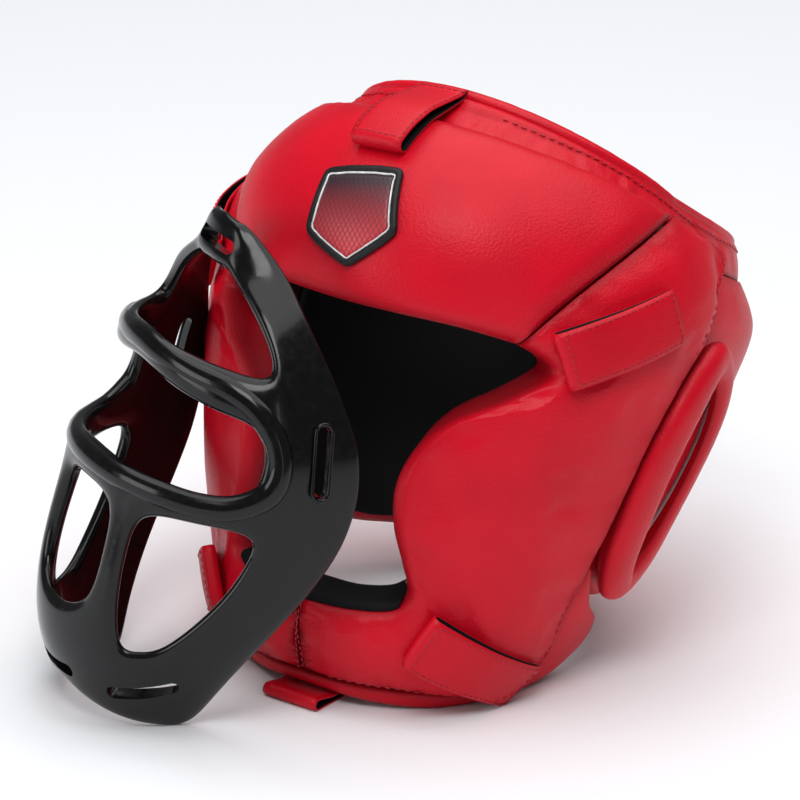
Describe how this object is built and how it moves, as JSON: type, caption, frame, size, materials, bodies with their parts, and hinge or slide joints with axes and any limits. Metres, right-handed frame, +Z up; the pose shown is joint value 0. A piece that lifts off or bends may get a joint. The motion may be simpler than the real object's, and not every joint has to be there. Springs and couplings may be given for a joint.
{
  "type": "boxing headgear with face grill",
  "caption": "Padded full-face boxing headguard with open crown, cheek and ear padding and folded straps, with its moulded bar grill standing in front of it.",
  "frame": {"origin": "on the floor, under the middle of the guard's width and the middle of the whole length", "axes": "+X to the wearer's left, -Y the way the face looks, +Z up; the guard is tipped nose up by 18 degrees, as it rests on its chin strap and its nape"},
  "size_m": [0.2508, 0.3494, 0.2626],
  "materials": {
    "leather": "satin",
    "lining": "smooth",
    "rubber": "moulded",
    "plastic": "gloss"
  },
  "bodies": {
    "root": {"forehead_pad": "leather", "side_pad_left": "leather", "side_pad_right": "leather", "jaw_flap_left": "leather", "jaw_flap_right": "leather", "back_pad": "leather", "chin_band": "leather", "crown_band": "leather", "crown_rim": "leather", "ear_pad_left": "leather", "ear_pad_right": "leather", "cheek_strap_left": "leather", "cheek_strap_right": "leather", "jaw_strap_left": "leather", "jaw_strap_right": "leather", "top_strap": "leather", "chin_strap": "leather", "front_lining": "lining", "side_lining_left": "lining", "side_lining_right": "lining", "back_lining": "lining", "badge": "rubber", "face_grill": "plastic"}
  },
  "joints": []
}
